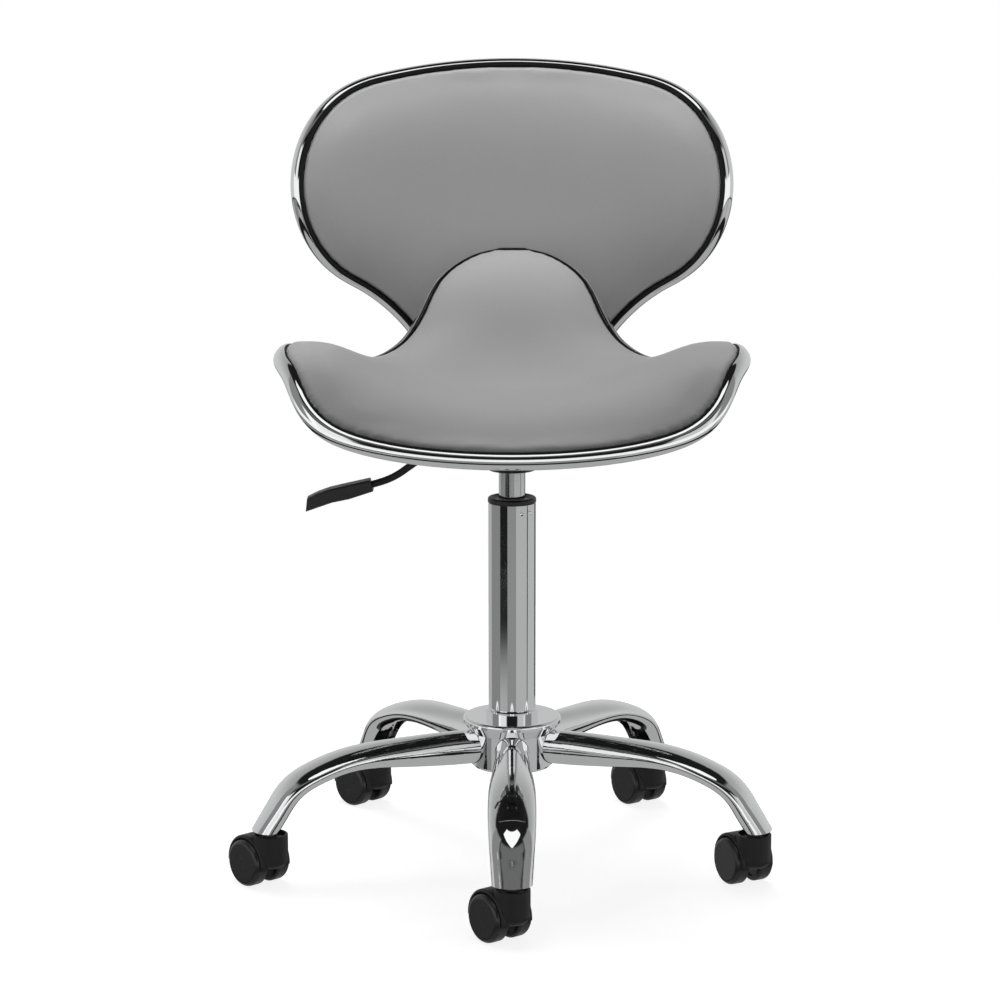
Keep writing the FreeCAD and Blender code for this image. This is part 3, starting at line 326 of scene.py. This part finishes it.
for face in grip.data.polygons:
    face.select = all(in_socket[index] for index in face.vertices)
bpy.ops.object.mode_set(mode="EDIT")
bpy.ops.mesh.delete(type="FACE")
bpy.ops.mesh.select_mode(type="EDGE")
bpy.ops.mesh.select_non_manifold()
bpy.ops.mesh.edge_face_add()
bpy.ops.mesh.select_all(action="SELECT")
bpy.ops.mesh.normals_make_consistent(inside=False)
bpy.ops.object.mode_set(mode="OBJECT")
bpy.ops.object.shade_smooth_by_angle(angle=GRIP_CREASE)
grip.data.materials.clear()
grip.data.materials.append(satin_grip)
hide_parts("lever_grip")
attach(grip, "lever")

# Shells: moulded plywood pans that carry the foam and take the bolts.
# They are stained dark, and only a line of their edges could show beside the welts.
moulded_ply, place = new_finish("moulded_ply")
figure = place.noise(1.0, 4.0, (14.0, 160.0, 160.0))
lay(place, {
    "Base Color": figure.blend((0.030, 0.021, 0.014), (0.060, 0.043, 0.029)),
    "Roughness": 0.5 + 0.16 * figure,
    "Normal": figure.bump(0.08, 0.0002),
})
dress(moulded_ply, ["seat_shell", "back_shell"])

# Lining under the seat: thin black woven cloth, tacked over the underside of the shell.
# The weave is plain, about one thread a millimetre.
black_lining, place = new_finish("black_lining")
THREAD_WAVES = 330.0


def threads(direction):
    settings = {"wave_type": "BANDS", "bands_direction": direction}
    return place.node("ShaderNodeTexWave", settings, {"Vector": place, "Scale": THREAD_WAVES}, output=1)


warp = threads("X")
weft = threads("Y")
weave = warp * weft
lay(place, {
    "Base Color": weave.blend((0.012, 0.012, 0.012), (0.036, 0.036, 0.037)),
    "Roughness": 0.92 - 0.08 * weave,
    "Normal": weave.bump(0.4, 0.0003),
})
dress(black_lining, ["seat_cover"])

# Welts: black vinyl piping sewn into the joint between each cushion's cover and its bright rim.
# It is smoother than the cushions, with a soft shine.
black_welt, place = new_finish("black_welt")
pores = place.noise(1500.0, 3.0)
lay(place, {
    "Base Color": pores.blend((0.004, 0.004, 0.004), (0.008, 0.008, 0.008)),
    "Roughness": 0.42 + 0.14 * pores,
    "Specular IOR Level": 0.2,
    "Normal": pores.bump(0.12, 0.0002),
})
dress(black_welt, ["seat_piping", "back_piping"])

# Seat cushion: a saddle of moulded foam under stretched grey vinyl, glued down on the shell.
# The vinyl is drawn smooth over the foam and has a fine leather grain and a dull shine; the grain's creases
# are painted a little darker as shade.
grey_vinyl, place = new_finish("grey_vinyl")
GRAIN_CELLS = 820.0
warped = place.node("ShaderNodeVectorMath", {"operation": "MULTIPLY_ADD"}, {
    0: place.node("ShaderNodeTexNoise", inputs={"Vector": place, "Scale": 300.0}, output=1),
    1: (0.0012, 0.0012, 0.0012),
    2: place,
})
cells = place.node("ShaderNodeTexVoronoi", {"feature": "DISTANCE_TO_EDGE"},
                   {"Vector": warped, "Scale": GRAIN_CELLS})
# Grain relief for the bump and roughness; in the base colour it is painted shade, darker in the creases
# where the cells meet.
grain_and_crease_shade = cells.rise(0.0, 0.22)
tone = place.noise(8.0, 3.0)
lay(place, {
    "Base Color": (0.7 * tone + 0.3 * grain_and_crease_shade).blend((0.275, 0.275, 0.275), (0.325, 0.325, 0.325)),
    "Roughness": 0.5 - 0.07 * grain_and_crease_shade + 0.08 * tone,
    "Specular IOR Level": 0.42,
    "Normal": grain_and_crease_shade.bump(0.1, 0.00012),
})
dress(grey_vinyl, ["back_cover"])
PAD_SPLITS = 7
PAD_SUNK = 0.0014
PAD_PRESSURE = 4.0
PAD_SWELL_CAP = 0.004
PAD_FRAMES = 20
FIXED_EDGE = 0.003
EDGE_BAND = 0.014
SHELL_BAND = 0.006
EDGE_PROUD = 0.0007
PROUD_FROM = 0.002
PROUD_BAND = 0.004
HELD_WITHIN = 0.0018
DEEP_FROM = 0.028
CROWN_EASE = 40
DEEP_EASE = 200


def points(piece):
    flat = np.zeros(len(piece.data.vertices) * 3)
    piece.data.vertices.foreach_get("co", flat)
    return flat.reshape(-1, 3)


def weigh(pad, name, weights):
    """A vertex group with one weight for each point."""
    group = pad.vertex_groups.new(name=name)
    for index, weight in enumerate(weights):
        group.add([index], float(weight), "REPLACE")
    return group.name


def reach(pad, node):
    """How far each point of a pad lies from a CAD node."""
    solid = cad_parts[node]
    spots = [solid.closest_point_on_mesh(vertex.co)[1] for vertex in pad.data.vertices]
    return np.linalg.norm(points(pad) - np.array(spots), axis=1)


def padded_piece(node, name, shell, welt):
    """Foam and cover: the CAD form remeshed, sunk a little, blown up as cloth, and eased smooth."""
    pad = copied(node, name)
    modified(pad, "REMESH", mode="SHARP", octree_depth=PAD_SPLITS, use_remove_disconnected=False)
    from_shell = reach(pad, shell)
    from_welt = reach(pad, welt)
    inner = np.clip((from_welt - FIXED_EDGE) / EDGE_BAND, 0.0, 1.0)
    inner = inner * np.clip((from_shell - FIXED_EDGE) / SHELL_BAND, 0.0, 1.0)
    crown = weigh(pad, "crown", inner)
    edge = weigh(pad, "edge", np.clip(1.0 - (from_welt - PROUD_FROM) / PROUD_BAND, 0.0, 1.0))
    held = weigh(pad, "held", (from_shell < HELD_WITHIN).astype(float))
    deep = weigh(pad, "deep", inner * np.clip(from_welt / DEEP_FROM - 1.0, 0.0, 1.0))
    modified(pad, "DISPLACE", strength=-PAD_SUNK, mid_level=0.0, vertex_group=crown)
    modified(pad, "DISPLACE", strength=EDGE_PROUD, mid_level=0.0, vertex_group=edge)
    before = points(pad)
    cloth = pad.modifiers.new("cover", "CLOTH")
    cloth.settings.use_pressure = True
    cloth.settings.uniform_pressure_force = PAD_PRESSURE
    cloth.settings.vertex_group_mass = held
    cloth.settings.effector_weights.gravity = 0.0
    cloth.point_cache.frame_start = 1
    cloth.point_cache.frame_end = PAD_FRAMES
    for step in range(1, PAD_FRAMES + 1):
        bpy.context.scene.frame_set(step)
    bpy.ops.object.modifier_apply(modifier=cloth.name)
    moved = points(pad) - before
    length = np.maximum(np.linalg.norm(moved, axis=1, keepdims=True), 1e-9)
    cap = EDGE_PROUD + (PAD_SWELL_CAP - EDGE_PROUD) * inner[:, None]
    capped = before + moved * cap / length * np.tanh(length / cap)
    pad.data.vertices.foreach_set("co", capped.ravel())
    pad.data.update()
    bpy.context.scene.frame_set(1)
    modified(pad, "SMOOTH", factor=0.5, iterations=CROWN_EASE, vertex_group=crown)
    modified(pad, "SMOOTH", factor=0.5, iterations=DEEP_EASE, vertex_group=deep)
    pad.vertex_groups.clear()
    modified(pad, "SUBSURF", levels=1, render_levels=1)
    bpy.ops.object.shade_smooth()
    return pad


def fit_cushion(pad, node):
    pad.data.materials.clear()
    pad.data.materials.append(grey_vinyl)
    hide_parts(node)
    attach(pad, "seat")


seat_pad = padded_piece("seat_cushion", "seat_pad", "seat_shell", "seat_piping")
fit_cushion(seat_pad, "seat_cushion")

# Back cushion: the same foam and vinyl, thinner, on the back's own shell.
# It is fixed as the seat's is, with a welt all round.
back_pad = padded_piece("back_cushion", "back_pad", "back_shell", "back_piping")
fit_cushion(back_pad, "back_cushion")

# Bright rims: rolled steel strip bent round the edges of the seat and back, plated like the base.
# The strip is rolled to a half round, so its face is shaded as one smooth curve.
RIM_CREASE = math.radians(50)


def rolled_rim(node, name):
    rim = copied(node, name)
    bpy.ops.object.shade_smooth_by_angle(angle=RIM_CREASE)
    rim.data.materials.clear()
    rim.data.materials.append(bright_chrome)
    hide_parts(node)
    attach(rim, "seat")


rolled_rim("seat_rim", "seat_bright_rim")
rolled_rim("back_rim", "back_bright_rim")

# Studio: a round of pale paper on the floor, soft lamps overhead, and a white room.
# Metal sees the room as it is in a studio: pale walls, two windows, a lamp box, a dark ceiling and
# strips of floor. Its parts are placed by degrees of turn round the stool and of tilt above it.
FLOOR_RADIUS = 1.25
PAPER_GREY = 0.3
PAPER_GLOW = 0.86
WHITE = (1.0, 1.0, 1.0, 1.0)
AMBIENT = 0.27
GLOOM = 0.012
all_off()
bpy.ops.mesh.primitive_circle_add(vertices=96, radius=FLOOR_RADIUS, fill_type="NGON")
floor = bpy.context.object
floor.name = "floor"
paper = bpy.data.materials.new("pale_paper")
paper.use_nodes = True
paper.node_tree.nodes.clear()
paper_start = Shade(paper.node_tree)
seen = paper_start.node("ShaderNodeLightPath", output="Is Camera Ray")
matt = paper_start.node("ShaderNodeBsdfDiffuse", inputs={"Color": (PAPER_GREY, PAPER_GREY, PAPER_GREY, 1.0)})
glow = paper_start.node("ShaderNodeEmission", inputs={"Color": WHITE, "Strength": PAPER_GLOW * seen})
both = paper_start.node("ShaderNodeAddShader", inputs={0: matt, 1: glow})
paper_start.node("ShaderNodeOutputMaterial", inputs={"Surface": both})
floor.data.materials.append(paper)
floor.visible_glossy = False

world = bpy.data.worlds.new("studio")
bpy.context.scene.world = world
world.use_nodes = True
world.node_tree.nodes.clear()
room = Shade(world.node_tree)
away = room.node("ShaderNodeTexCoord", output="Generated")
split = {"Vector": away}
across = room.node("ShaderNodeSeparateXYZ", inputs=split, output="X")
along = room.node("ShaderNodeSeparateXYZ", inputs=split, output="Y")
high = room.node("ShaderNodeSeparateXYZ", inputs=split, output="Z")
turn = room.sum("ARCTAN2", across, 0.0 - along) * math.degrees(1.0)
tilt = room.sum("ARCSINE", high) * math.degrees(1.0)


def span(value, start, end, soft):
    """Is 1 between start and end, with soft edges, and 0 elsewhere."""
    return value.rise(start - soft, start + soft) - value.rise(end - soft, end + soft)


aside = room.sum("ABSOLUTE", turn)
behind = aside.rise(92.0, 98.0)
near_wall = tilt.rise(-9.5, -8.5) - tilt.rise(6.0, 10.0)
side_wall = 0.24 * aside.rise(46.0, 56.0) * span(tilt, 8.0, 54.0, 3.0)
left_window = 0.9 * span(turn, -60.0, -24.0, 3.0) * span(tilt, 8.0, 32.0, 2.0)
right_window = 0.6 * span(turn, 24.0, 60.0, 3.0) * span(tilt, 8.0, 30.0, 2.0)
high_wall = 0.14 * (1.0 - aside.rise(44.0, 50.0)) * span(tilt, 39.0, 50.0, 2.5)
lamp_reach = room.sum("MINIMUM", 3.2 * (tilt - 49.5), 50.0)
lamp_box = (1.0 - (aside - lamp_reach).rise(-1.5, 1.5)) * span(tilt, 49.0, 76.0, 1.0)
far_wall = (0.6 - 0.24 * tilt.rise(4.0, 50.0)) * (tilt.rise(-9.5, -8.5) - tilt.rise(48.0, 54.0))
in_front = near_wall + side_wall + high_wall + left_window + right_window + 1.1 * lamp_box
above = (1.0 - behind) * in_front + behind * far_wall
FLOOR_STRIPS = ((-181.0, -118.0, 0.44), (-118.0, -60.0, 0.23), (-22.0, 20.0, 0.26), (20.0, 78.0, 0.45),
                (82.0, 140.0, 0.48), (140.0, 181.0, 0.08))
STRIP_EDGE = 1.2
strips = 0.42 * span(turn, -60.0, -22.0, STRIP_EDGE) * (1.0 - tilt.rise(-14.6, -13.2))
for start, end, grey in FLOOR_STRIPS:
    strips = strips + grey * span(turn, start, end, STRIP_EDGE)
nearer = tilt.rise(-24.0, -22.0) - tilt.rise(-10.3, -9.7)
floor_tone = 0.4 * (1.0 - tilt.rise(-35.0, -32.0))
room_tone = above + nearer * strips + floor_tone + GLOOM
camera_sees = room.node("ShaderNodeLightPath", output="Is Camera Ray")
metal_sees = room.node("ShaderNodeLightPath", output="Is Glossy Ray")
glass_sees = room.node("ShaderNodeLightPath", output="Is Transmission Ray")
strength = camera_sees + metal_sees * room_tone + glass_sees * (1.0 - camera_sees)
other = (1.0 - camera_sees) * (1.0 - metal_sees) * (1.0 - glass_sees)
strength = strength + AMBIENT * other
sky = room.node("ShaderNodeBackground", inputs={"Color": WHITE, "Strength": strength})
room.node("ShaderNodeOutputWorld", inputs={"Surface": sky})


def soft_lamp(name, watts, size, fan, spot, aim):
    lamp = bpy.data.lights.new(name, "AREA")
    lamp.energy = watts
    lamp.shape = "RECTANGLE"
    lamp.size = size[0]
    lamp.size_y = size[1]
    lamp.spread = math.radians(fan)
    holder = bpy.data.objects.new(name, lamp)
    bpy.context.scene.collection.objects.link(holder)
    holder.location = spot
    toward = [b - a for a, b in zip(spot, aim)]
    flat_run = math.hypot(toward[0], toward[1])
    holder.rotation_euler = (math.atan2(flat_run, -toward[2]), 0.0, math.atan2(-toward[0], toward[1]))
    holder.visible_glossy = False


soft_lamp("top_lamp", 51.0, (1.4, 1.4), 180.0, (-0.2, 0.42, 2.6), (0.0, 0.0, 0.5))
soft_lamp("back_lamp", 0.8, (0.8, 0.55), 6.0, (0.15, -2.2, 2.1), (0.0, 0.2, 0.85))
soft_lamp("rear_lamp", 0.9, (0.9, 0.7), 14.0, (-0.5, 2.4, 1.8), (0.0, 0.25, 0.68))

# Camera: a long lens a little above the seat, as the stool was photographed.
# The small shift sets the stool a little to the right of the middle, as it stands in the picture.
view = bpy.data.cameras.new("view")
view.sensor_width = 36.0
view.lens = 112.47
view.shift_x = -0.012
eye = bpy.data.objects.new("view", view)
bpy.context.scene.collection.objects.link(eye)
eye.location = (0.0, -3.2291, 1.0233)
eye.rotation_euler = (math.radians(90.0) - 0.1915, 0.0, 0.0)
bpy.context.scene.camera = eye
bpy.context.scene.view_settings.view_transform = "Standard"
